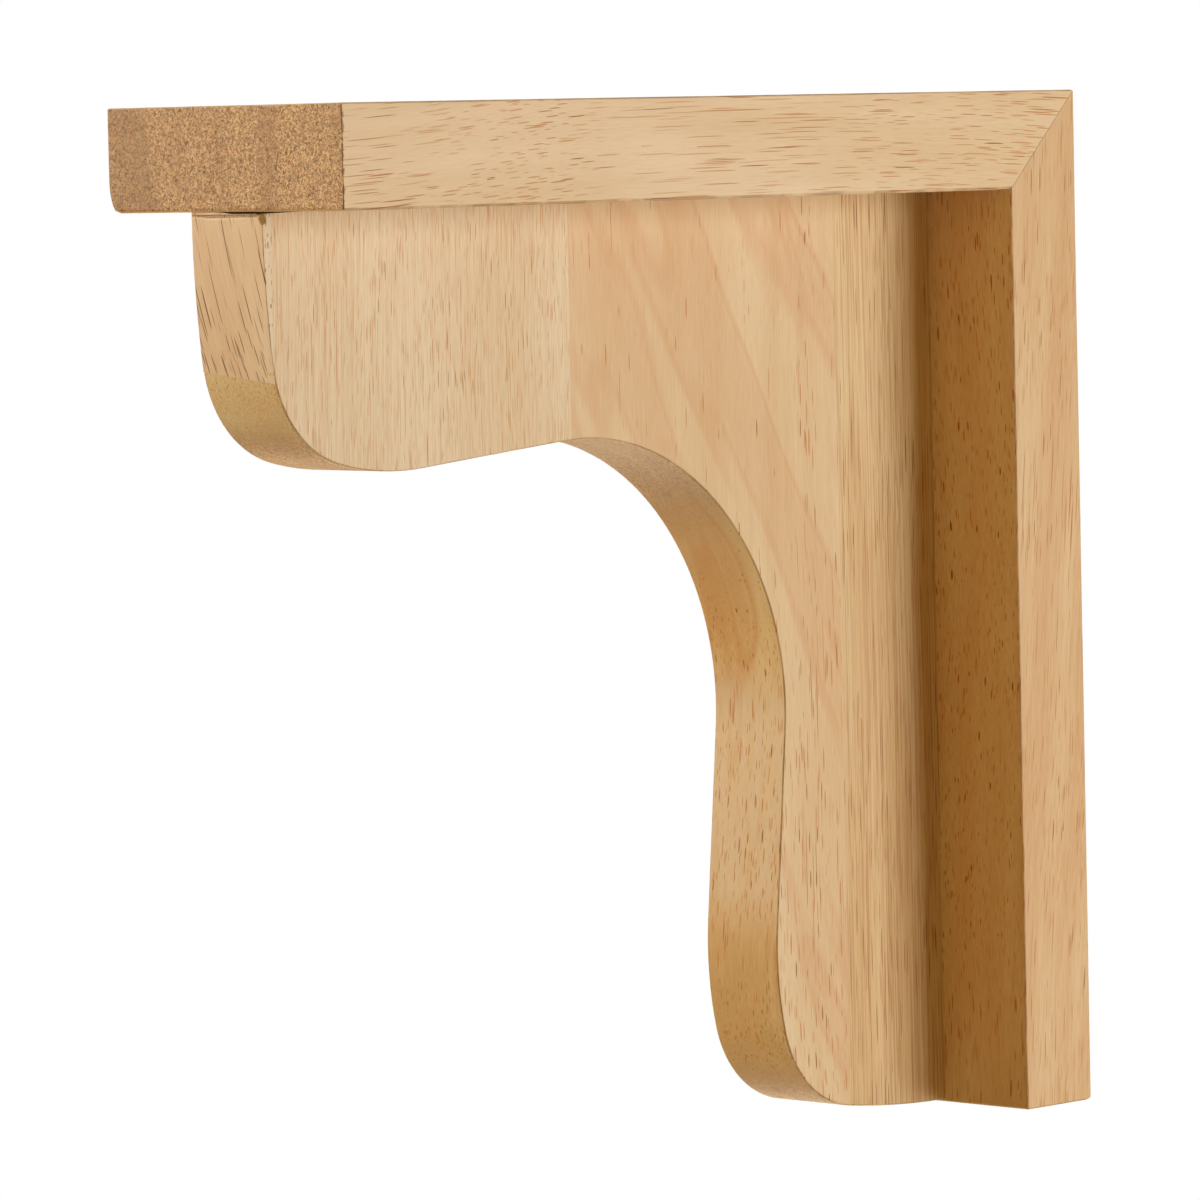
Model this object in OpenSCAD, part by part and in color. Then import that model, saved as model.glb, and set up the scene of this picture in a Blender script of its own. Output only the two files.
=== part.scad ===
// Wooden corbel bracket: two mitred plates and a shaped web, glued up from
// planed boards. The web is an edge-glued panel of upright staves.
// The origin is the centre of the face that lies on the wall. X runs along the
// width, the bracket stands out towards -Y, and +Z is up. Sizes are in millimetres.

/* [Overall] */
// How far the bracket stands out from the wall
projection = 203; // [165:1:260]
// Height of the bracket on the wall
height = 203; // [165:1:260]
// Width of both plates
plate_w = 63; // [40:1:100]

/* [Plates] */
// Thickness of the top plate
top_t = 19.5; // [12:0.5:30]
// Thickness of the back plate
back_t = 19.5; // [12:0.5:30]
// Radius of the sanded edges of both plates
edge_r = 0.8; // [0.2:0.1:3]

/* [Web] */
// Thickness of the web
web_t = 19; // [12:0.5:30]
// How far the web's two ends stay inside the ends of the plates
web_setback = 0.5; // [0:0.1:3]
// Depth of each limb of the web at its narrowest, from the plate it stands on
waist = 45.1; // [36:0.1:50]
// Length of each limb from the centre of the cove out to the limb's end
limb_run = 82.5; // [68:0.5:95]

/* [Lobes at the ends of the limbs] */
// How much deeper a lobe is than the waist
lobe_swell = 3.8; // [0.5:0.1:8]
// Distance from a limb's end back to the deepest point of its lobe
lobe_back = 34; // [28:0.5:45]
// Radius of the long curve under a lobe
lobe_r = 65; // [45:1:90]
// Radius of the round nose between a lobe and the limb's end
nose_r = 22; // [14:0.5:30]
// Radius of the slight bow of a limb's end
end_r = 220; // [150:5:400]

/* [Staves of the web] */
// Thickness of the thin strip on the front edge
strip_t = 2; // [0.8:0.1:12]
// Width of the front stave
front_stave_w = 77.5; // [40:0.1:100]
// Width of the stave against the back plate
back_stave_w = 28.5; // [10:0.5:35]

/* [Hidden] */

// Largest distance between a curve of the web and the flats that follow it
curve_tol = 0.01;
// How far the blocks that become the plates run past the mitre before it is cut
mitre_waste = 5;
// Sides of the full circle that an eased edge is a quarter of
edge_sides = 48;

// The outer and inner ends of the mitre, seen from the side as [Y, Z]
top_z = height / 2;
mitre_outer = [0, top_z];
mitre_inner = [-back_t, top_z - top_t];

// The web is laid out in its inner corner's own axes: the first runs along the
// arm, out from the back plate, and the second along the leg, down from the top plate.
arm_reach = projection - back_t - web_setback;
leg_reach = height - top_t - web_setback;
cove_r = min(arm_reach, leg_reach) - limb_run - waist;
cove_c = (waist + cove_r) * [1, 1];

// Where the seams between the staves lie, measured along the arm
front_seam = arm_reach - strip_t;
middle_seam = front_seam - front_stave_w;
back_seam = back_stave_w;

function heading(v) = atan2(v.y, v.x);
function swapped(points) = [for (i = [len(points) - 1:-1:0]) [points[i].y, points[i].x]];

// Points along an arc, without the first, near enough together to keep to curve_tol
function arc(c, r, from, to) =
    let (steps = ceil(abs(to - from) / (2 * acos(1 - curve_tol / r))))
    [for (i = [1:steps]) let (a = from + (to - from) * i / steps) c + r * [cos(a), sin(a)]];

// Centre of the circle of radius r that touches two larger circles from inside
function inner_touch(c1, r1, c2, r2, r) =
    let (gap = norm(c2 - c1),
         u = (c2 - c1) / gap,
         along = (pow(r1 - r, 2) - pow(r2 - r, 2) + gap * gap) / (2 * gap),
         out = sqrt(pow(r1 - r, 2) - along * along))
    c1 + along * u + out * [-u.y, u.x];

// A limb's three curves, for a limb of the given reach lying along the first axis
function end_c(reach) = [reach - end_r, 0];
function lobe_c(reach) = [reach - lobe_back, waist + lobe_swell - lobe_r];
function nose_c(reach) = inner_touch(end_c(reach), end_r, lobe_c(reach), lobe_r, nose_r);

// Direction in which the lobe's curve runs out into the straight that meets the cove
function straight_dir(reach) =
    let (v = cove_c - lobe_c(reach)) heading(v) - acos((lobe_r + cove_r) / norm(v));

// Edge of one limb, from the plate round the nose and lobe to the straight
function limb_edge(reach) =
    let (end_dir = heading(nose_c(reach) - end_c(reach)),
         nose_dir = heading(nose_c(reach) - lobe_c(reach)))
    concat([[reach, 0]],
           arc(end_c(reach), end_r, 0, end_dir),
           arc(nose_c(reach), nose_r, end_dir, nose_dir),
           arc(lobe_c(reach), lobe_r, nose_dir, straight_dir(reach)));

cove_from = straight_dir(arm_reach) - 180;
cove_to = -90 - straight_dir(leg_reach);
cove_start = cove_c + cove_r * [cos(cove_from), sin(cove_from)];

web_outline = concat([[0, 0]],
                     limb_edge(arm_reach),
                     [cove_start],
                     arc(cove_c, cove_r, cove_from, cove_to),
                     swapped(limb_edge(leg_reach)));

// Turns an outline seen from the side into a solid of the given width, centred on X
module across(width) {
    translate([-width / 2, 0, 0]) rotate([90, 0, 90]) linear_extrude(width) children();
}

// Rectangle with round corners, centred
module eased_rect(size, r) {
    square([size.x - 2 * r, size.y], center = true);
    square([size.x, size.y - 2 * r], center = true);
    for (x = [-1, 1], y = [-1, 1])
        translate([x * (size.x / 2 - r), y * (size.y / 2 - r)]) circle(r, $fn = edge_sides);
}

// Centred block whose twelve edges are eased, seen square in all three directions
module eased_block(size, r) {
    intersection() {
        translate([0, 0, -size.z / 2]) linear_extrude(size.z) eased_rect([size.x, size.y], r);
        translate([0, size.y / 2, 0]) rotate([90, 0, 0])
            linear_extrude(size.y) eased_rect([size.x, size.z], r);
        across(size.x) eased_rect([size.y, size.z], r);
    }
}

// The part of the web between two upright seams
module web_stave(from, to) {
    across(web_t) translate(mitre_inner) rotate(180) intersection() {
        polygon(web_outline);
        translate([from, 0]) square([to - from, leg_reach]);
    }
}

module top_plate() {
    length = projection + mitre_waste;
    color("#E0C29A") intersection() {
        translate([0, mitre_waste - length / 2, top_z - top_t / 2])
            eased_block([plate_w, length, top_t], edge_r);
        across(plate_w)
            polygon([mitre_outer, mitre_inner, [-projection, mitre_inner.y], [-projection, top_z]]);
    }
}

module back_plate() {
    length = height + mitre_waste;
    color("#D9B98C") intersection() {
        translate([0, -back_t / 2, top_z + mitre_waste - length / 2])
            eased_block([plate_w, back_t, length], edge_r);
        across(plate_w)
            polygon([mitre_outer, mitre_inner, [mitre_inner.x, -top_z], [0, -top_z]]);
    }
}

module web_front_strip() {
    color("#D9A868") web_stave(front_seam, arm_reach);
}

module web_front_stave() {
    color("#E2C295") web_stave(middle_seam, front_seam);
}

module web_middle_stave() {
    color("#DCB27E") web_stave(back_seam, middle_seam);
}

module web_back_stave() {
    color("#DDB88A") web_stave(0, back_seam);
}

top_plate();
back_plate();
web_front_strip();
web_front_stave();
web_middle_stave();
web_back_stave();
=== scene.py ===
"""Wooden corbel bracket: two mitred plates and a shaped web, glued up from planed rubberwood.

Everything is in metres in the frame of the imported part: the origin is the centre of the face
that lies on the wall, X runs along the width, the bracket stands out towards -Y, +Z is up.
The script shapes one mesh for each CAD solid, gives it its own wood, and sets the studio.
"""
import math
from types import SimpleNamespace

import bmesh
import bpy
from mathutils import Matrix, Vector, noise


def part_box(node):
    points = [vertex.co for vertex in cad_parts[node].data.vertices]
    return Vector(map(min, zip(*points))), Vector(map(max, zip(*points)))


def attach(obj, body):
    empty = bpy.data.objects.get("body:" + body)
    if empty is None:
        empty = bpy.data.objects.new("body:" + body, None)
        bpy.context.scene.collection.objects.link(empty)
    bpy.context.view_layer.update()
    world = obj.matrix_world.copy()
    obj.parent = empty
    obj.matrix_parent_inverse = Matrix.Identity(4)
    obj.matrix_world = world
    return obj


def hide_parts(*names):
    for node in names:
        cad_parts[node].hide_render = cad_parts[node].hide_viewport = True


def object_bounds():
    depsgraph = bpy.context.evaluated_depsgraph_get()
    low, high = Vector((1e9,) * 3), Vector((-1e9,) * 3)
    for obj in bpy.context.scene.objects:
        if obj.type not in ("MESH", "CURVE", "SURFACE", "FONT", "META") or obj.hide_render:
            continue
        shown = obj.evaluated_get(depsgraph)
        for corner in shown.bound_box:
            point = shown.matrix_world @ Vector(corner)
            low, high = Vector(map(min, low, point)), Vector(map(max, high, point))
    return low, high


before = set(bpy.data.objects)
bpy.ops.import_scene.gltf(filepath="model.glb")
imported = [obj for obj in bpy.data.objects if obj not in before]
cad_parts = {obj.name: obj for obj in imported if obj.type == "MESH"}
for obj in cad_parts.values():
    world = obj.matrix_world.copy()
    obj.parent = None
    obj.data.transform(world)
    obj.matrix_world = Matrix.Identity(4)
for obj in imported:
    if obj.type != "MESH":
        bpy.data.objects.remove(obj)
cad_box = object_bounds()

MM = 0.001


# ---------------------------------------------------------------- camera
VIEW_CENTRE = Vector((-0.0040, -0.1024, 0.0046))
VIEW_DISTANCE = 1.4164
VIEW_AZIMUTH = math.radians(44.09)
VIEW_ELEVATION = math.radians(3.686)
VIEW_ROLL = math.radians(-1.265)
LENS = 219.16
# The camera shows what is between these distances
SEEN_FROM, SEEN_TO = 0.05, 40.0


def direction(azimuth, elevation):
    """Unit vector from the object out to a place seen at these angles: azimuth 0 is in front."""
    return Vector((
        math.sin(azimuth) * math.cos(elevation),
        -math.cos(azimuth) * math.cos(elevation),
        math.sin(elevation),
    ))


def make_camera():
    outward = direction(VIEW_AZIMUTH, VIEW_ELEVATION)
    camera = bpy.data.objects.new("camera", bpy.data.cameras.new("camera"))
    camera.data.lens = LENS
    camera.data.clip_start = SEEN_FROM
    camera.data.clip_end = SEEN_TO
    aim = (-outward).to_track_quat("-Z", "Y").to_matrix() @ Matrix.Rotation(VIEW_ROLL, 3, "Z")
    camera.matrix_world = Matrix.Translation(VIEW_CENTRE + outward * VIEW_DISTANCE) @ aim.to_4x4()
    bpy.context.scene.collection.objects.link(camera)
    bpy.context.scene.camera = camera


# ---------------------------------------------------------------- nodes
MATH, RANGE, MIX = "ShaderNodeMath", "ShaderNodeMapRange", "ShaderNodeMix"
VECTOR, AXES, NOISE = "ShaderNodeVectorMath", "ShaderNodeSeparateXYZ", "ShaderNodeTexNoise"
# Settings of a range that eases in and out, and of a mix of two colours
EASED = {"interpolation_type": "SMOOTHSTEP"}
COLOUR = {"data_type": "RGBA", "output": 2}
# Sockets of a mix of two colours: how much of the upper one, the lower one, the upper one
AMOUNT, BELOW, ABOVE = 0, 6, 7


def linear(hex_colour):
    """sRGB hex such as #E0C29A to the linear RGBA that the shaders take."""
    channels = [int(hex_colour[i:i + 2], 16) / 255 for i in (1, 3, 5)]
    return (*[c / 12.92 if c <= 0.04045 else ((c + 0.055) / 1.055) ** 2.4 for c in channels], 1.0)


def add(tree, kind, inputs=(), output=0, **settings):
    """Adds a node, sets its properties, and fills its sockets, in order or by name, each with a
    value or a link. Returns one of its outputs, or the node itself where output is None."""
    node = tree.nodes.new(kind)
    for name, value in settings.items():
        setattr(node, name, value)
    for socket, value in inputs.items() if isinstance(inputs, dict) else enumerate(inputs):
        if isinstance(value, bpy.types.NodeSocket):
            tree.links.new(value, node.inputs[socket])
        else:
            node.inputs[socket].default_value = value
    return node if output is None else node.outputs[output]


def new_material(name):
    material = bpy.data.materials.new(name)
    material.use_nodes = True
    material.node_tree.nodes.clear()
    return material, material.node_tree


# ---------------------------------------------------------------- rubberwood
# Turns that lay the grain along the bracket's Z, or along its Y
ALONG_Z = (0.0, 0.0, 0.0)
ALONG_Y = (math.radians(90), 0.0, 0.0)
# Colours that all the boards share: deep end grain and its squiggles, the darkest pores, a
# painted highlight on the fibres that catch the light, the darker eased edges and dark specks on an
# arris
END_DEEP = "#A07552"
END_PORE = "#6C4320"
PORE_DARK = "#7C4410"
FIBRE_HIGHLIGHT = "#FFF2DC"
EDGE_DARK = "#8A5A2C"
ARRIS_SPECK = "#6B4020"
# How deep an open pore is, and the share of that by which fibres stand proud
PORE_DIP = 0.06 * MM
FIBRE_RISE = 0.35
# The grain's wandering is this long, in millimetres
WANDER_OVER = 120
# How far from the middle a board is darkest on its heart side and palest on its bark side
HEART_REACH = 31 * MM
# A column of pores is full this near its middle, and ends this far out
COLUMN_CORE, COLUMN_RIM = 1 * MM, 3.5 * MM
# Middling radii of long and short pores, as shares of the cells that they lie in
LONG_REACH, SHORT_REACH = 0.24, 0.27
# Sizes of a darker patch on an eased edge and of a dark speck on an arris
PATCH, SPECK = 9 * MM, 1.1 * MM


def streaks(tree, place, across, along, detail, shift=0.0, distortion=0.0):
    """Noise drawn out along the grain: across and along are its sizes in millimetres, and shift
    sets one pattern apart from another. Most of it lies between 0.3 and 0.7."""
    drawn_out = (1 / across, 1 / across, 1 / along)
    drawn = add(tree, VECTOR, (place, drawn_out), operation="MULTIPLY")
    drawn = add(tree, VECTOR, (drawn, (shift,) * 3), operation="ADD")
    return add(tree, NOISE, {
        "Vector": drawn, "Scale": 1.0, "Detail": detail, "Roughness": 0.55,
        "Distortion": distortion,
    })


def follow_grain(tree, straight, wander, bow):
    """Bends straight board coordinates to the grain, which wanders by a few millimetres and may
    bow along its length: bow is its curve, and where along the board it turns."""
    drift = add(tree, NOISE, {
        "Vector": straight, "Scale": 1 / WANDER_OVER, "Detail": 1.0, "Roughness": 0.4,
    }, output="Color")
    drift = add(tree, VECTOR, (drift, (0.5, 0.5, 0.5)), operation="SUBTRACT")
    drift = add(tree, VECTOR, (drift, (4 * wander, 4 * wander, 0)), operation="MULTIPLY")
    place = add(tree, VECTOR, (straight, drift), operation="ADD")
    if bow is None:
        return place
    curve, turning = bow
    along = add(tree, MATH, (add(tree, AXES, (straight,), output="Z"), turning), operation="ADD")
    rise = add(tree, MATH, (along, along), operation="MULTIPLY")
    rise = add(tree, MATH, (rise, curve), operation="MULTIPLY")
    rise = add(tree, "ShaderNodeCombineXYZ", {"Y": rise})
    return add(tree, VECTOR, (place, rise), operation="ADD")


def lay_out(tree, seed, turn, wander, bow):
    """What a board's patterns are worked out from: the point on the bracket, the same point in
    the board's own millimetres with the grain along Z, and which way the surface faces."""
    here = add(tree, "ShaderNodeTexCoord", output="Object")
    normal = add(tree, "ShaderNodeNewGeometry", output="Normal")
    sideways = add(tree, MATH, (add(tree, AXES, (normal,), output="X"),), operation="ABSOLUTE")
    straight = add(tree, "ShaderNodeMapping", {
        "Vector": here, "Location": seed, "Rotation": turn, "Scale": (1 / MM,) * 3,
    })
    return SimpleNamespace(
        tree=tree,
        here=here,
        normal=normal,
        sideways=sideways,
        height=add(tree, AXES, (here,), output="Z"),
        on_edge=add(tree, RANGE, (sideways, 0.3, 0.8, 1.0, 0.0), **EASED),
        place=follow_grain(tree, straight, wander, bow),
    )


# ---- pores
def keep_flecks(wood, flecks_low):
    """The share of a board's pores that is there at all: they thin out upwards between two
    heights, apart from one column that keeps them."""
    tree = wood.tree
    low, high, column = [millimetres * MM for millimetres in flecks_low]
    kept = add(tree, RANGE, (wood.height, low, high, 1.0, 0.1), **EASED)
    depth = add(tree, AXES, (wood.here,), output="Y")
    away = add(tree, MATH, (depth, column), operation="SUBTRACT")
    away = add(tree, MATH, (away,), operation="ABSOLUTE")
    in_column = add(tree, RANGE, (away, COLUMN_CORE, COLUMN_RIM, 1.0, 0.0), **EASED)
    return add(tree, MATH, (kept, in_column), operation="MAXIMUM")


def pore_marks(wood, crowd, kept, gaps, length, share, reach):
    """Pores of one sort, each in its own cell of a drawn-out Voronoi pattern: how strongly one
    shows here, and how dark it is. A cell is a gap wide each way and a length long, and only a
    share of the cells holds a pore. Real ones are a tenth to a fifth of a millimetre wide, and
    the widest of these are twice that, so that they show."""
    tree = wood.tree
    drawn_out = (1 / gaps[0], 1 / gaps[1], 1 / length)
    cells = add(tree, VECTOR, (wood.place, drawn_out), operation="MULTIPLY")
    cells = add(tree, VECTOR, (cells, (length,) * 3), operation="ADD")
    cells = add(tree, "ShaderNodeTexVoronoi", {
        "Vector": cells, "Scale": 1.0, "Randomness": 1.0,
    }, output=None)
    chance = add(tree, "ShaderNodeSeparateColor", (cells.outputs["Color"],), output=None)
    width, luck, dark = chance.outputs
    # they differ in width, and have soft rims
    size = add(tree, RANGE, (width, 0, 1, 0.5 * reach, 1.3 * reach))
    inside = add(tree, MATH, (size, cells.outputs["Distance"]), operation="SUBTRACT")
    inside = add(tree, RANGE, (inside, 0.0, 0.3 * reach, 0.0, 1.0), **EASED)
    # only some of the cells hold one, more of them in a crowd
    wanted = add(tree, MATH, (crowd, share), operation="ADD")
    if kept:
        wanted = add(tree, MATH, (wanted, kept), operation="MULTIPLY")
    chosen = add(tree, MATH, (luck, wanted), operation="LESS_THAN")
    depth = add(tree, RANGE, (dark, 0, 1, 0.45, 1.0))
    depth = add(tree, MATH, (depth, chosen), operation="MULTIPLY")
    return add(tree, MATH, (inside, depth), operation="MULTIPLY"), dark


def open_pores(wood, long_pores, short_pores, flecks_low):
    """Both sorts of pore, which come in crowds: how strongly one shows, and how dark it is."""
    tree = wood.tree
    crowd = streaks(tree, wood.place, 9, 70, 1.0, 11.7)
    crowd = add(tree, RANGE, (crowd, 0.35, 0.65, -0.3, 0.3), **EASED)
    kept = keep_flecks(wood, flecks_low) if flecks_low else None
    long_marks, long_dark = pore_marks(wood, crowd, kept, *long_pores, LONG_REACH)
    short_marks, short_dark = pore_marks(wood, crowd, kept, *short_pores, SHORT_REACH)
    marks = add(tree, MATH, (long_marks, short_marks), operation="MAXIMUM")
    # most are a clear orange brown, and a few are dark, fewer of the long ones than of the short
    long_dark = add(tree, MATH, (long_dark, long_dark), operation="MULTIPLY")
    long_dark = add(tree, MATH, (long_dark, long_marks), operation="MULTIPLY")
    short_dark = add(tree, MATH, (short_dark, short_marks), operation="MULTIPLY")
    dark = add(tree, MATH, (long_dark, short_dark), operation="MAXIMUM")
    return marks, add(tree, MATH, (dark, 5.0), operation="POWER")


# ---- colours along the grain, each laid over the one before
def lay_ground(wood, pale, deep, band, band_depth):
    """The ground: soft bands, each this wide, and clouds of the deeper colour."""
    tree = wood.tree
    bands = streaks(tree, wood.place, band, band * 22, 2.0)
    bands = add(tree, RANGE, (bands, 0.32, 0.68, 0.0, band_depth), **EASED)
    cloud = streaks(tree, wood.place, 16, 42, 1.0, 7.3)
    cloud = add(tree, RANGE, (cloud, 0.3, 0.7, 0.0, 0.4), **EASED)
    colour = add(tree, MIX, {AMOUNT: bands, BELOW: linear(pale), ABOVE: linear(deep)}, **COLOUR)
    return add(tree, MIX, {AMOUNT: cloud, BELOW: colour, ABOVE: linear(deep)}, **COLOUR)


def lay_figure(wood, colour, tint, lean, strength):
    """Broad growth lines that lean across the face, and are clearer on the sawn edge."""
    tree = wood.tree
    leaned = add(tree, "ShaderNodeMapping", {
        "Vector": wood.place, "Rotation": (math.radians(lean), 0, 0),
    })
    rings = streaks(tree, leaned, 15, 110, 2.0, 2.9, distortion=0.2)
    ridge = add(tree, MATH, (rings, 0.5), operation="SUBTRACT")
    ridge = add(tree, MATH, (ridge,), operation="ABSOLUTE")
    ridge = add(tree, RANGE, (ridge, 0.0, 0.08, strength, 0.0), **EASED)
    broad = add(tree, RANGE, (rings, 0.42, 0.6, 0.0, 0.7 * strength), **EASED)
    figured = add(tree, MATH, (ridge, broad), operation="MAXIMUM")
    clearer = add(tree, MATH, (wood.on_edge, 0.5, 1.0), operation="MULTIPLY_ADD")
    figured = add(tree, MATH, (figured, clearer), operation="MULTIPLY")
    return add(tree, MIX, {AMOUNT: figured, BELOW: colour, ABOVE: linear(tint)}, **COLOUR)


def lay_side(wood, colour, tint):
    """The two side faces in a colour of their own."""
    on_side = add(wood.tree, RANGE, (wood.sideways, 0.6, 0.9, 0.0, 0.9), **EASED)
    return add(wood.tree, MIX, {AMOUNT: on_side, BELOW: colour, ABOVE: linear(tint)}, **COLOUR)


def lay_edge_tint(wood, colour, low, high, softness, tint):
    """A tint on the sawn edge between two heights, streaked as growth rings are. The middle stave's
    paler tint is partly painted sheen.
    """
    tree = wood.tree
    low, high, softness = low * MM, high * MM, softness * MM
    up = add(tree, RANGE, (wood.height, low, low + softness, 0.0, 1.0), **EASED)
    down = add(tree, RANGE, (wood.height, high - softness, high, 1.0, 0.0), **EASED)
    grown = streaks(tree, wood.place, 2.2, 60, 2.0, 6.2)
    grown = add(tree, RANGE, (grown, 0.3, 0.6, 0.5, 1.0), **EASED)
    amount = add(tree, MATH, (up, down), operation="MULTIPLY")
    amount = add(tree, MATH, (amount, grown), operation="MULTIPLY")
    amount = add(tree, MATH, (amount, wood.on_edge), operation="MULTIPLY")
    return add(tree, MIX, {AMOUNT: amount, BELOW: colour, ABOVE: linear(tint)}, **COLOUR)


def lay_lines(wood, colour, tint, strength):
    """Close straight growth lines, a third of a millimetre wide."""
    tree = wood.tree
    close = streaks(tree, wood.place, 0.36, 150, 2.0, 5.7)
    close = add(tree, RANGE, (close, 0.42, 0.68, 0.0, strength), **EASED)
    return add(tree, MIX, {AMOUNT: close, BELOW: colour, ABOVE: linear(tint)}, **COLOUR)


def lay_fibres(wood, colour, fibres, tint, strength):
    """Fibres darker than the wood round them, and a painted highlight on the fibres that catch the
    light.
    """
    tree = wood.tree
    darker = add(tree, RANGE, (fibres, 0.28, 0.5, 2.4 * strength, 0.0), **EASED)
    # the fibres that catch the light are a painted highlight, blended towards a pale cream
    fibre_highlight = add(tree, RANGE, (fibres, 0.5, 0.74, 0.0, 1.6 * strength), **EASED)
    colour = add(tree, MIX, {AMOUNT: darker, BELOW: colour, ABOVE: linear(tint)}, **COLOUR)
    return add(tree, MIX, {AMOUNT: fibre_highlight, BELOW: colour, ABOVE: linear(FIBRE_HIGHLIGHT)}, **COLOUR)


# ---- where the cut is across the grain
def end_grain(wood, end):
    """A crisp short-fibred ground in soft bands, crossed by dark squiggles, and darker towards
    the heart side of the board. The squiggles stand for pores that are too fine to show."""
    tree, place = wood.tree, wood.place
    worms = streaks(tree, place, 0.5, 60, 2.0, 1.9, distortion=1.2)
    worms = add(tree, RANGE, (worms, 0.43, 0.57, 0.0, 0.85), **EASED)
    winding = streaks(tree, place, 0.85, 60, 1.0, 4.4, distortion=0.9)
    winding = add(tree, MATH, (winding, 0.5), operation="SUBTRACT")
    winding = add(tree, MATH, (winding,), operation="ABSOLUTE")
    winding = add(tree, RANGE, (winding, 0.015, 0.06, 1.0, 0.0), **EASED)
    broken = streaks(tree, place, 0.6, 60, 1.0, 8.1)
    broken = add(tree, RANGE, (broken, 0.4, 0.5, 0.0, 1.0), **EASED)
    squiggles = add(tree, MATH, (winding, broken), operation="MULTIPLY")
    stripes = add(tree, VECTOR, (place, (1 / 7, 1 / 45, 1 / 90)), operation="MULTIPLY")
    stripes = add(tree, NOISE, {
        "Vector": stripes, "Scale": 1.0, "Detail": 2.0, "Roughness": 0.5,
    })
    stripes = add(tree, RANGE, (stripes, 0.38, 0.62, 0.0, 0.42), **EASED)
    heart = add(tree, AXES, (wood.here,), output="X")
    heart = add(tree, RANGE, (heart, -HEART_REACH, HEART_REACH, 0.16, -0.1), **EASED)
    stripes = add(tree, MATH, (stripes, heart), operation="ADD", use_clamp=True)
    across = add(tree, MIX, {AMOUNT: worms, BELOW: linear(end), ABOVE: linear(END_DEEP)}, **COLOUR)
    across = add(tree, MIX, {AMOUNT: stripes, BELOW: across, ABOVE: linear(END_DEEP)}, **COLOUR)
    return add(tree, MIX, {AMOUNT: squiggles, BELOW: across, ABOVE: linear(END_PORE)}, **COLOUR)


def lay_end_grain(wood, colour, end, grain):
    """End grain wherever the surface faces along the grain."""
    tree = wood.tree
    square_on = add(tree, VECTOR, (wood.normal, grain), output="Value", operation="DOT_PRODUCT")
    square_on = add(tree, MATH, (square_on,), operation="ABSOLUTE")
    cut_across = add(tree, RANGE, (square_on, 0.55, 0.97, 0.0, 1.0), **EASED)
    across = end_grain(wood, end)
    return add(tree, MIX, {AMOUNT: cut_across, BELOW: colour, ABOVE: across}, **COLOUR)


# ---- darker eased edges, and dark specks on an arris
def darken_eased_edges(wood, colour):
    """Makes the eased edges a little darker, in patches here and there."""
    tree = wood.tree
    patches = add(tree, NOISE, {
        "Vector": wood.here, "Scale": 1 / PATCH, "Detail": 3.0, "Roughness": 0.6,
    })
    patches = add(tree, RANGE, (patches, 0.36, 0.6, 0.12, 0.5), **EASED)
    darker_edge = add(tree, "ShaderNodeAttribute", output="Fac", attribute_name="darker_edge")
    darker_edge = add(tree, MATH, (darker_edge, patches), operation="MULTIPLY")
    return add(tree, MIX, {AMOUNT: darker_edge, BELOW: colour, ABOVE: linear(EDGE_DARK)}, **COLOUR)


def speck_arris(wood, colour, spot, way):
    """Dark specks, about half a millimetre wide, on the arris that runs this way through spot."""
    tree = wood.tree
    across_it = [0.0 if along else 1.0 for along in way]
    away = add(tree, VECTOR, (wood.here, spot), operation="SUBTRACT")
    away = add(tree, VECTOR, (away, across_it), operation="MULTIPLY")
    away = add(tree, VECTOR, (away,), output="Value", operation="LENGTH")
    specks = add(tree, NOISE, {
        "Vector": wood.here, "Scale": 1 / SPECK, "Detail": 2.0, "Roughness": 0.6,
    })
    width = add(tree, RANGE, (specks, 0.42, 0.66, 0.12 * MM, 0.62 * MM), **EASED)
    mark = add(tree, MATH, (width, away), operation="SUBTRACT")
    mark = add(tree, RANGE, (mark, 0.0, 0.2 * MM, 0.0, 0.62), **EASED)
    return add(tree, MIX, {AMOUNT: mark, BELOW: colour, ABOVE: linear(ARRIS_SPECK)}, **COLOUR)


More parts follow.
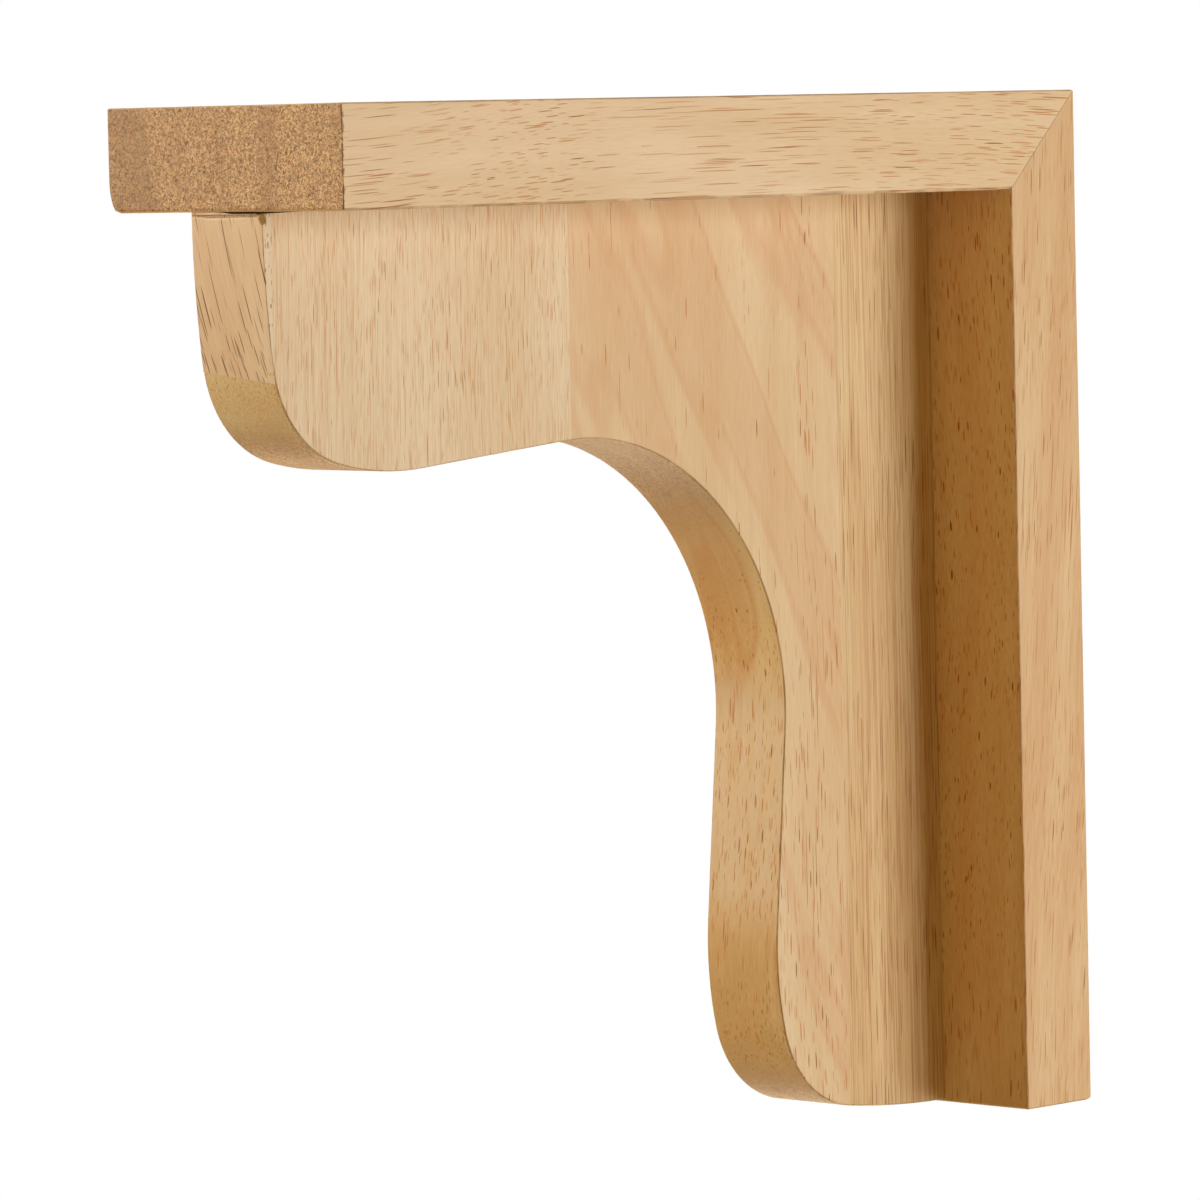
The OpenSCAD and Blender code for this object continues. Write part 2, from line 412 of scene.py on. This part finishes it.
def rubberwood(board, pale, deep, pore, end, seed, turn=ALONG_Z, grain=(0, 0, 1), bow=None,
               wander=3.0, band=7.0, band_depth=0.6, fibre=0.06, lines=0.0, figure=None,
               flecks_low=None, long_pores=((0.45, 0.45), 46.0, 0.75),
               short_pores=((0.42, 0.42), 14.0, 0.6), pore_depth=1.0, side=None, edge_tints=(),
               specked_arris=None):
    """Rubberwood, planed and sanded, with no stain: a pale straw ground in soft bands along the
    grain, fine fibre lines, and open pores that show as short brown dashes, or as dots and
    squiggles where the cut is across the grain. Sizes are in millimetres.

    pale, deep, pore and end are its colours. seed sets this board apart from the others, turn
    lays the patterns along the grain, and grain is the way that the grain runs. bow and wander
    bend it, and band and band_depth are the width and strength of the soft bands. fibre, lines
    and pore_depth are the strengths of those marks, and figure the lean and strength of the broad
    growth lines. long_pores and short_pores are the two gaps, the length and the share of each
    sort of pore, and flecks_low the heights between which they thin out upwards and the depth of
    the one column where they stay. side is the colour of the two side faces, edge_tints the
    heights, softness and colour of each tint on the sawn edge, and specked_arris a place on the
    arris that has dark specks, in metres, and the way along it."""
    material, tree = new_material("rubberwood_" + board)
    wood = lay_out(tree, seed, turn, wander, bow)
    marks, dark = open_pores(wood, long_pores, short_pores, flecks_low)
    # real fibres are too fine to show, so these are a fifth of a millimetre wide
    fibres = streaks(tree, wood.place, 0.22, 6, 2.0, 3.1)

    colour = lay_ground(wood, pale, deep, band, band_depth)
    if figure:
        colour = lay_figure(wood, colour, pore, *figure)
    if side:
        colour = lay_side(wood, colour, side)
    for edge_tint in edge_tints:
        colour = lay_edge_tint(wood, colour, *edge_tint)
    if lines:
        colour = lay_lines(wood, colour, pore, lines)
    colour = lay_fibres(wood, colour, fibres, pore, fibre)
    colour = lay_end_grain(wood, colour, end, grain)
    filling = add(tree, MIX, {AMOUNT: dark, BELOW: linear(pore), ABOVE: linear(PORE_DARK)}, **COLOUR)
    filled = add(tree, MATH, (marks, pore_depth), operation="MULTIPLY")
    colour = add(tree, MIX, {AMOUNT: filled, BELOW: colour, ABOVE: filling}, **COLOUR)
    colour = darken_eased_edges(wood, colour)
    if specked_arris:
        colour = speck_arris(wood, colour, *specked_arris)

    # pores are open to the surface, and the fibres between them stand a little proud
    relief = add(tree, MATH, (marks, -1.0), operation="MULTIPLY")
    relief = add(tree, MATH, (fibres, FIBRE_RISE, relief), operation="MULTIPLY_ADD")
    bump = add(tree, "ShaderNodeBump", {"Height": relief, "Distance": PORE_DIP, "Strength": 0.6})
    # sanded and unpolished, so soft highlights that the fibres break up
    rough = add(tree, RANGE, (fibres, 0.3, 0.7, 0.44, 0.56), **EASED)
    shader = add(tree, "ShaderNodeBsdfPrincipled", {
        "Base Color": colour, "Roughness": rough, "Normal": bump, "IOR": 1.45,
    })
    add(tree, "ShaderNodeOutputMaterial", (shader,), output=None)
    return material


# ---------------------------------------------------------------- sizes of the finishing
# Rounding that sandpaper leaves along the free edges of the web
WEB_ARRIS = 0.35 * MM
ARRIS_SEGMENTS = 3
# Faces that meet at less than CREASE are one curved surface, and at less than FLAT one flat
CREASE = math.radians(28)
FLAT = math.radians(0.2)
# Points of a CAD mesh nearer than this are one point, and a cut this near one goes through it
WELD = 0.001 * MM
CUT_SNAP = 0.002 * MM
# Two places nearer than this are the same place
SAME = 0.01 * MM
# Grid on which the planed faces are slightly uneven, and how uneven they are
FACE_GRID = 4 * MM
UNEVEN_BY = 0.04 * MM
UNEVEN_OVER = 26 * MM
UNEVEN_SEED = 5
# How far a face turns to the side, from 0 to 1: the flat sides are above SIDE_ON, and the faces
# that run straight across the board are below NOT_SIDE_ON
SIDE_ON, NOT_SIDE_ON = 0.95, 0.1


# ---------------------------------------------------------------- meshes
def welded_copy(node):
    """A bmesh of a CAD node's own surface, its flats each one face again."""
    mesh = bmesh.new()
    mesh.from_mesh(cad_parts[node].data)
    bmesh.ops.remove_doubles(mesh, verts=mesh.verts, dist=WELD)
    bmesh.ops.dissolve_limit(mesh, angle_limit=FLAT, verts=mesh.verts, edges=mesh.edges)
    return mesh


def slice_across(mesh, axis, places):
    """Cuts the surface along planes square to an axis, so that it has points to shape."""
    normal = [0.0, 0.0, 0.0]
    normal[axis] = 1.0
    for place in places:
        point = [0.0, 0.0, 0.0]
        point[axis] = place
        bmesh.ops.bisect_plane(
            mesh, geom=mesh.verts[:] + mesh.edges[:] + mesh.faces[:], dist=CUT_SNAP,
            plane_co=point, plane_no=normal,
        )


def steps(low, high, step):
    """Places strictly between low and high, about a step apart."""
    count = max(1, round((high - low) / step))
    return [low + (high - low) * i / count for i in range(1, count)]


def slice_grid(mesh, low, high):
    for axis in range(3):
        slice_across(mesh, axis, steps(low[axis], high[axis], FACE_GRID))


def soften(mesh, low, high):
    """Leaves the faces as slightly uneven as a planed and hand-sanded board, inside its box."""
    for vert in mesh.verts:
        shift = noise.noise_vector(vert.co / UNEVEN_OVER) * UNEVEN_BY
        moved = vert.co + shift
        vert.co = [min(max(moved[i], low[i]), high[i]) for i in range(3)]


def finish_piece(mesh, name, node, material):
    """Makes the shaped surface a piece that stands for its CAD node."""
    data = bpy.data.meshes.new(name)
    bmesh.ops.recalc_face_normals(mesh, faces=mesh.faces)
    mesh.to_mesh(data)
    mesh.free()
    data.materials.append(material)
    # the faces that turn a corner between two flats are the eased edges, which are made darker in
    # patches
    darker_edge = data.attributes.new("darker_edge", "FLOAT", "FACE")
    darker_edge.data.foreach_set(
        "value", [float(NOT_SIDE_ON < abs(face.normal.x) < SIDE_ON) for face in data.polygons])
    data.shade_smooth()
    data.set_sharp_from_angle(angle=CREASE)
    piece = bpy.data.objects.new(name, data)
    bpy.context.scene.collection.objects.link(piece)
    weighted = piece.modifiers.new("flat faces", "WEIGHTED_NORMAL")
    weighted.keep_sharp = True
    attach(piece, "root")
    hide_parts(node)


# ---------------------------------------------------------------- the plates
# Sides of an eased edge, and an edge that runs across the board
LEFT, RIGHT, ACROSS = -1, 1, 0
LARGEST_EASING = 2.0 * MM
EASING_SEGMENTS = 4
# The two plates' mitre is left sharp
MITRE_EASING = 0.05 * MM
# The worn lower left corner at the top plate's front end: its radii across and upwards, and how
# far along the edge the wear fades out. Less than the smallest radius isn't worth a shape
WORN_CORNER = (2.6 * MM, 10.0 * MM)
WEAR_LENGTH = 70 * MM
SMALLEST_WEAR = 0.05 * MM
# Cuts that give the corner points to round, in from the left side and up from the underside
WEAR_CUTS_IN = (0.5, 1.1, 1.8, 2.7)
WEAR_CUTS_UP = (0.4, 0.9, 1.6, 2.4, 3.4, 4.8, 6.4)


def eased_board(outline, half_width, easing):
    """A board with this outline seen from the side, as (Y, Z), each edge eased by its own radius.

    easing gives an edge's radius from the corners of the outline that it joins, and from the
    side that it is on."""
    mesh = bmesh.new()
    weight = mesh.edges.layers.float.new("bevel_weight_edge")
    rings = [
        [mesh.verts.new((side * half_width, y, z)) for y, z in outline] for side in (LEFT, RIGHT)
    ]
    count = len(outline)
    for ring in rings:
        mesh.faces.new(ring)
    for i in range(count):
        after = (i + 1) % count
        mesh.faces.new((rings[0][i], rings[0][after], rings[1][after], rings[1][i]))
        across = mesh.edges.get((rings[0][i], rings[1][i]))
        across[weight] = easing.get((i, i, ACROSS), 0.0) / LARGEST_EASING
        for side, ring in zip((LEFT, RIGHT), rings):
            along = mesh.edges.get((ring[i], ring[after]))
            along[weight] = easing.get((i, after, side), 0.0) / LARGEST_EASING
    bmesh.ops.recalc_face_normals(mesh, faces=mesh.faces)
    data = bpy.data.meshes.new("blank")
    mesh.to_mesh(data)
    mesh.free()
    blank = bpy.data.objects.new("blank", data)
    bpy.context.scene.collection.objects.link(blank)
    bevel = blank.modifiers.new("eased edges", "BEVEL")
    bevel.limit_method = "WEIGHT"
    bevel.width = LARGEST_EASING
    bevel.segments = EASING_SEGMENTS
    bevel.use_clamp_overlap = False
    shaped = blank.evaluated_get(bpy.context.evaluated_depsgraph_get()).to_mesh()
    result = bmesh.new()
    result.from_mesh(shaped)
    bpy.data.objects.remove(blank)
    bpy.data.meshes.remove(data)
    return result


def wear_corner(mesh, low):
    """Rounds the lower left edge at the front to part of an ellipse, fading along the edge."""
    for vert in mesh.verts:
        share = max(0.0, 1 - (vert.co.y - low.y) / WEAR_LENGTH)
        across, up = [radius * share for radius in WORN_CORNER]
        if across < SMALLEST_WEAR:
            continue
        # how far the point is in from the corner, in radii, and its distance from the centre
        inwards, upwards = (vert.co.x - low.x) / across, (vert.co.z - low.z) / up
        out = math.hypot(1 - inwards, 1 - upwards)
        if max(inwards, upwards) < 1 and out > 1:
            vert.co.x = low.x + (1 - (1 - inwards) / out) * across
            vert.co.z = low.z + (1 - (1 - upwards) / out) * up


def make_top_plate():
    low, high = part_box("top_plate")
    inner_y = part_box("back_plate")[0].y
    # corners: lower front, lower back at the mitre, upper back, upper front
    outline = [(low.y, low.z), (inner_y, low.z), (high.y, high.z), (low.y, high.z)]
    easing = {
        (0, 0, ACROSS): 0.7 * MM, (2, 2, ACROSS): 0.4 * MM, (3, 3, ACROSS): 0.4 * MM,
        (0, 1, LEFT): 0.8 * MM, (0, 1, RIGHT): 0.8 * MM,
        (1, 2, LEFT): MITRE_EASING, (1, 2, RIGHT): MITRE_EASING,
        (2, 3, LEFT): 0.5 * MM, (2, 3, RIGHT): 0.4 * MM,
        (3, 0, LEFT): 0.6 * MM, (3, 0, RIGHT): 0.22 * MM,
    }
    mesh = eased_board(outline, high.x, easing)
    slice_grid(mesh, low, high)
    slice_across(mesh, 0, [low.x + inwards * MM for inwards in WEAR_CUTS_IN])
    slice_across(mesh, 2, [low.z + upwards * MM for upwards in WEAR_CUTS_UP])
    soften(mesh, low, high)
    wear_corner(mesh, low)
    wood = rubberwood(
        "top_board", "#EED5B2", "#DFBF91", "#C9781E", "#EFCBA2", seed=(11, 5, 0),
        turn=ALONG_Y, grain=(0, 1, 0), bow=(-0.00022, 60), wander=2.0,
        long_pores=((0.46, 0.46), 46.0, 1.15), short_pores=((0.36, 0.36), 24.0, 0.9),
        pore_depth=0.9, specked_arris=((high.x, low.y, 0), (0, 0, 1)),
    )
    finish_piece(mesh, "top_board", "top_plate", wood)


def make_back_plate():
    low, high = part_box("back_plate")
    inner_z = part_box("top_plate")[0].z
    # corners: upper front at the mitre, upper back, lower back, lower front
    outline = [(low.y, inner_z), (high.y, high.z), (high.y, low.z), (low.y, low.z)]
    easing = {
        (1, 1, ACROSS): 0.4 * MM, (2, 2, ACROSS): 2.0 * MM, (3, 3, ACROSS): 0.5 * MM,
        (0, 1, LEFT): MITRE_EASING, (0, 1, RIGHT): MITRE_EASING,
        (1, 2, LEFT): 0.4 * MM, (1, 2, RIGHT): 0.3 * MM,
        (2, 3, LEFT): 0.4 * MM, (2, 3, RIGHT): 0.4 * MM,
        (3, 0, LEFT): 0.45 * MM, (3, 0, RIGHT): 0.45 * MM,
    }
    mesh = eased_board(outline, high.x, easing)
    slice_grid(mesh, low, high)
    soften(mesh, low, high)
    wood = rubberwood(
        "back_board", "#E3C597", "#D6A974", "#C2731E", "#C39F78", seed=(41, 23, 7),
        turn=(math.radians(5), 0, 0), lines=0.2, fibre=0.08,
        long_pores=((0.46, 0.46), 36.0, 1.3), short_pores=((0.8, 0.4), 10.0, 0.5),
    )
    finish_piece(mesh, "back_board", "back_plate", wood)


# ---------------------------------------------------------------- the web
# Points of the strip this near its lower end, its front face and the top of the web lie on them
END_SKIN, FRONT_SKIN, TOP_SKIN = 0.05 * MM, 0.4 * MM, 0.1 * MM
# The strip's feathered lower end is this much lower on its right side, and this thick
STRIP_SLANT = 2.1 * MM
FEATHER = 0.08 * MM
# Below the strip the nose curves back: its slope there, and half its curve, for each metre
NOSE_SLOPE, NOSE_CURVE = 0.152, 35
# The joint under the front of the top plate has opened by this much, over this length
GAP = 0.35 * MM
GAP_LENGTH = 17 * MM
# The opening starts in the middle of the web's thickness, where a cut gives it points
GAP_CUT = 0.1 * MM
# The hairline crack below the glue line: how far down from the top it starts and stops, its
# left end and its depth
CRACK_TOP, CRACK_BOTTOM = 0.5 * MM, 0.88 * MM
CRACK_END = -6 * MM
CRACK_DEPTH = 0.5 * MM
# A chip broken out of the strip's upper right corner: its width, height and depth
CHIP_WIDTH, CHIP_HEIGHT, CHIP_DEPTH = 1.3 * MM, 2.4 * MM, 0.9 * MM
# Cuts that give the strip points for these, in from its right side and down from its top
STRIP_CUTS_IN = (1.5, 1.2, 0.9, 0.6, 0.3, 0.1)
STRIP_CUTS_DOWN = (2.8, 2.4, 2.0, 1.6, 1.2, 0.9, 0.85, 0.55, 0.45)


def free_edges(mesh, high, seams):
    """Edges between a side of the web and its shaped outline, where nothing is glued on."""
    found = []
    for edge in mesh.edges:
        if len(edge.link_faces) != 2 or edge.calc_face_angle(0) < CREASE:
            continue
        if not any(abs(face.normal.x) > SIDE_ON for face in edge.link_faces):
            continue
        ends = [vert.co for vert in edge.verts]
        glued = any(all(abs(end.y - seam) < SAME for end in ends) for seam in seams)
        under_plate = all(abs(end.z - high.z) < SAME for end in ends)
        if not glued and not under_plate:
            found.append(edge)
    return found


def make_stave(node, name, wood, cuts=(), shape=None):
    low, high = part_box(node)
    mesh = welded_copy(node)
    web_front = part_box("web_front_strip")[0].y
    seams = [y for y in (low.y, high.y) if abs(y - web_front) > SAME]
    bmesh.ops.bevel(mesh, geom=free_edges(mesh, high, seams), offset=WEB_ARRIS,
                    segments=ARRIS_SEGMENTS, profile=0.5, affect="EDGES", clamp_overlap=True)
    slice_grid(mesh, low, high)
    for axis, places in cuts:
        slice_across(mesh, axis, places)
    soften(mesh, low, high)
    if shape:
        for vert in mesh.verts:
            shape(vert.co)
    finish_piece(mesh, name, node, wood)


def open_joint(point):
    """Lowers the top of the web a little on its right side, where the joint has opened."""
    low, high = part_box("web_front_strip")
    if point.z > high.z - TOP_SKIN and point.x > 0:
        point.z -= GAP * max(0.0, 1 - (point.y - low.y) / GAP_LENGTH)


def wear_strip(point):
    """The strip's slanting lower end, the crack across its front and the chip at its corner."""
    low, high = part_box("web_front_strip")
    if point.z < low.z + END_SKIN:
        drop = STRIP_SLANT * (point.x - low.x) / (high.x - low.x)
        point.z -= drop
        point.y = high.y + NOSE_SLOPE * drop + NOSE_CURVE * drop * drop - FEATHER
    if point.y < low.y + FRONT_SKIN:
        down = high.z - point.z
        if down < CHIP_HEIGHT and point.x > high.x - CHIP_WIDTH * (1 - down / CHIP_HEIGHT):
            point.y += CHIP_DEPTH
        elif CRACK_TOP < down < CRACK_BOTTOM and point.x > CRACK_END:
            point.y += CRACK_DEPTH
    open_joint(point)


def make_front_strip():
    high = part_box("web_front_strip")[1]
    wood = rubberwood(
        "edge_strip", "#EFDAC9", "#E2BFA5", "#5E3F2C", "#C39F78", seed=(3, 90, 31),
        turn=(0, math.radians(14), 0), side="#E6D2AF",
        long_pores=((0.72, 0.72), 70.0, 1.3), short_pores=((0.5, 0.5), 24.0, 1.3),
    )
    cuts = [
        (0, [CRACK_END] + [high.x - inwards * MM for inwards in STRIP_CUTS_IN]),
        (2, [high.z - down * MM for down in STRIP_CUTS_DOWN]),
    ]
    make_stave("web_front_strip", "front_edge_strip", wood, cuts, wear_strip)


def make_front_stave():
    wood = rubberwood(
        "front_stave", "#E9D8B7", "#DDC298", "#CF8428", "#EABA82", seed=(70, 12, 55),
        lines=0.22, fibre=0.14, band=16.0, band_depth=0.45, wander=1.5,
        long_pores=((0.34, 0.34), 30.0, 0.9), short_pores=((0.3, 0.3), 7.0, 1.0),
    )
    make_stave("web_front_stave", "front_stave", wood, [(0, [GAP_CUT])], open_joint)


def make_middle_stave():
    wood = rubberwood(
        "middle_stave", "#E8CFA7", "#D9B784", "#C97924", "#CFB292", seed=(9, 44, 80),
        figure=(-26, 0.26), flecks_low=(-45, 20, -57), fibre=0.08,
        long_pores=((0.42, 0.42), 34.0, 1.0), short_pores=((0.62, 0.62), 9.0, 1.5),
        # the paler tint, from -66 to -8 mm, is partly the wood's own pinkish grey and partly painted
        # sheen where a front light glances off the leg's edge; the deeper one makes the edge darker
        # and more golden towards the foot
        edge_tints=((-66, -8, 12, "#E0C8AE"), (-130, -52, 20, "#CFAC79")),
    )
    make_stave("web_middle_stave", "middle_stave", wood)


def make_back_stave():
    wood = rubberwood(
        "back_stave", "#E6CC9C", "#D6AE75", "#AE6D20", "#C9A77F", seed=(25, 61, 18),
        lines=0.5, wander=0.8,
        long_pores=((0.36, 0.36), 50.0, 1.0), short_pores=((0.4, 0.4), 16.0, 0.8),
    )
    make_stave("web_back_stave", "back_stave", wood)


# ---------------------------------------------------------------- stage and light
# The floor is as far down as if the bracket hung on a wall, and reaches this far each way
FLOOR_DROP = 1.2
FLOOR_REACH = 15
FLOOR_COLOUR = "#EDEBE8"
# A dim warm surround fills the shadows, and where floor or surround is seen it is white
SURROUND = "#FFCF60"
SURROUND_STRENGTH = 0.2
SEEN_WHITE = "#FFFFFF"
# Soft boxes stand this far from the middle of the bracket. Each has its name, its azimuth and
# elevation in degrees, its width and height, its watts and its colour
LIGHT_DISTANCE = 1.7
SOFT_BOXES = (
    # lights the right sides from a little behind, so that the back plate's inner face is in shade
    ("key_box", 118, -1.5, (0.9, 1.0), 20, "#FFFFFF"),
    # lights the left sides, the front ends and the sawn edge of the web
    ("left_box", -58, 18, (0.9, 0.9), 26.5, "#FFF5DC"),
    # a weak warm fill from the front
    ("front_box", 15, 14, (0.9, 0.9), 2.8, "#FFD26C"),
    # lights the top face
    ("top_box", -140, 72, (0.9, 0.9), 7, "#FFFFFF"),
    # stands for what a pale floor and wall throw back on the undersides
    ("low_box", -133, -40, (1.2, 1.2), 14, "#FFE2B7"),
)


def make_floor():
    """Pale floor well below the bracket, plain white where it is seen."""
    mesh = bmesh.new()
    bmesh.ops.create_grid(mesh, x_segments=1, y_segments=1, size=FLOOR_REACH)
    data = bpy.data.meshes.new("floor")
    mesh.to_mesh(data)
    mesh.free()
    floor = bpy.data.objects.new("floor", data)
    floor.location.z = cad_box[0].z - FLOOR_DROP
    bpy.context.scene.collection.objects.link(floor)
    material, tree = new_material("white_studio_floor")
    seen = add(tree, "ShaderNodeLightPath", output="Is Camera Ray")
    matt = add(tree, "ShaderNodeBsdfDiffuse", {"Color": linear(FLOOR_COLOUR)})
    bright = add(tree, "ShaderNodeEmission", {"Color": linear(SEEN_WHITE), "Strength": 1.0})
    mixed = add(tree, "ShaderNodeMixShader", (seen, matt, bright))
    add(tree, "ShaderNodeOutputMaterial", (mixed,), output=None)
    data.materials.append(material)


def make_soft_box(name, azimuth, elevation, size, power, colour):
    """A soft box at these angles, turned to the middle of the bracket."""
    outward = direction(math.radians(azimuth), math.radians(elevation))
    data = bpy.data.lights.new(name, "AREA")
    data.shape = "RECTANGLE"
    data.size, data.size_y = size
    data.energy = power
    data.color = linear(colour)[:3]
    lamp = bpy.data.objects.new(name, data)
    aim = (-outward).to_track_quat("-Z", "Y").to_matrix().to_4x4()
    lamp.matrix_world = Matrix.Translation(VIEW_CENTRE + outward * LIGHT_DISTANCE) @ aim
    lamp.visible_camera = False
    bpy.context.scene.collection.objects.link(lamp)


def make_studio():
    """A dim warm surround that is white where it is seen, and the soft boxes."""
    world = bpy.data.worlds.new("studio")
    world.use_nodes = True
    tree = world.node_tree
    tree.nodes.clear()
    seen = add(tree, "ShaderNodeLightPath", output="Is Camera Ray")
    dim = add(tree, "ShaderNodeBackground", {
        "Color": linear(SURROUND), "Strength": SURROUND_STRENGTH,
    })
    bright = add(tree, "ShaderNodeBackground", {"Color": linear(SEEN_WHITE), "Strength": 1.0})
    mixed = add(tree, "ShaderNodeMixShader", (seen, dim, bright))
    add(tree, "ShaderNodeOutputWorld", (mixed,), output=None)
    bpy.context.scene.world = world
    for soft_box in SOFT_BOXES:
        make_soft_box(*soft_box)
    bpy.context.scene.view_settings.view_transform = "Standard"


# without its seed the unevenness would differ from run to run
noise.seed_set(UNEVEN_SEED)

make_camera()
make_top_plate()
make_back_plate()
make_front_strip()
make_front_stave()
make_middle_stave()
make_back_stave()
make_floor()
make_studio()
